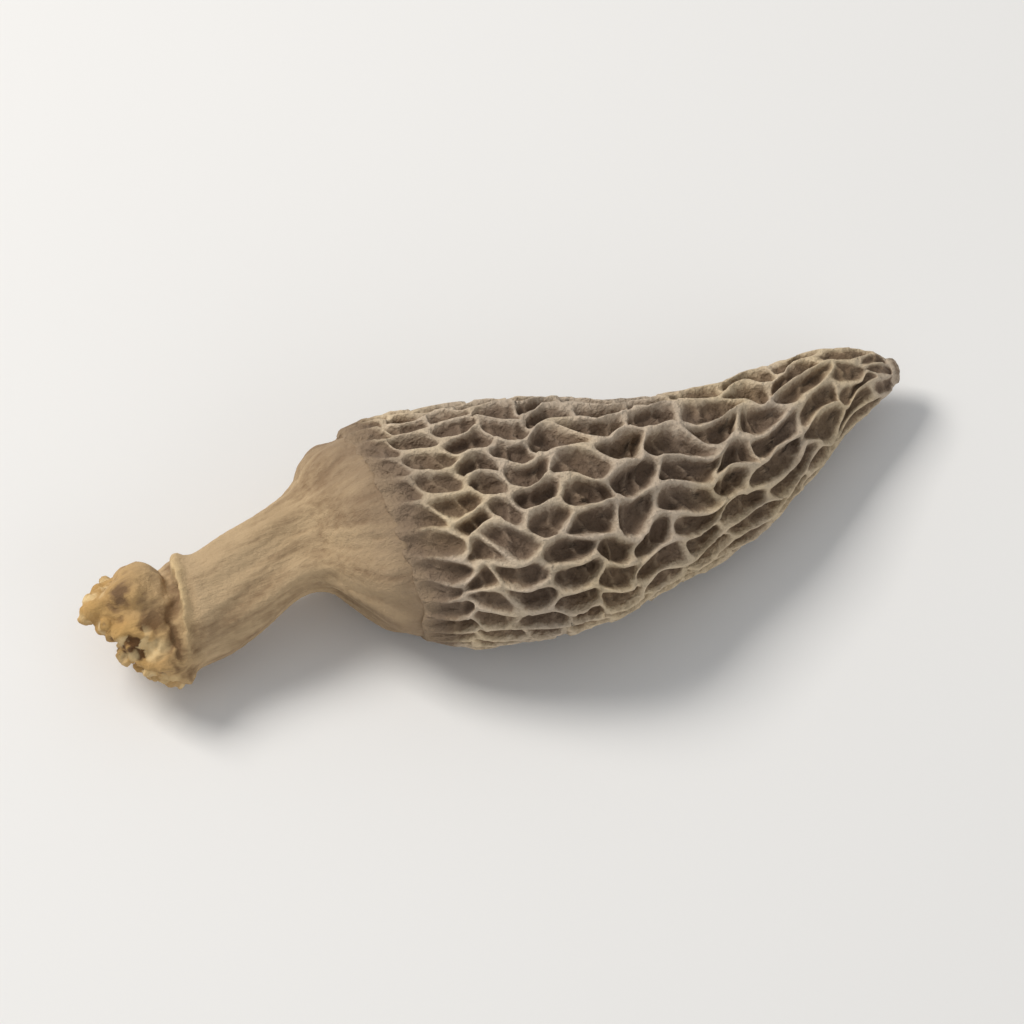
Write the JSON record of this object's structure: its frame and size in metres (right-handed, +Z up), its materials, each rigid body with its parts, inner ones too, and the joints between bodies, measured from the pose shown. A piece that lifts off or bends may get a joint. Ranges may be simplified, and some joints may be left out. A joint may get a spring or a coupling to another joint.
{
  "type": "morel mushroom",
  "caption": "Dried morel lying on its side: a conical cap with a raised net of ridges round deep pits, and a pale wrinkled stem that flares into the cap and ends in a knobbly root.",
  "frame": {"origin": "on the surface that the morel lies on, under the middle of its box", "axes": "+X along the cap from the root towards the tip, +Z up from the surface, +Y to the side"},
  "size_m": [0.049, 0.0174, 0.0104],
  "materials": {
    "cap": "dry and matt, grey-brown, paler on the crests of the net and darker in its pits",
    "stem": "dry and matt, tan with long fine wrinkles, more golden at the torn root"
  },
  "bodies": {
    "root": {"cap": "cap", "stem": "stem"}
  },
  "joints": []
}
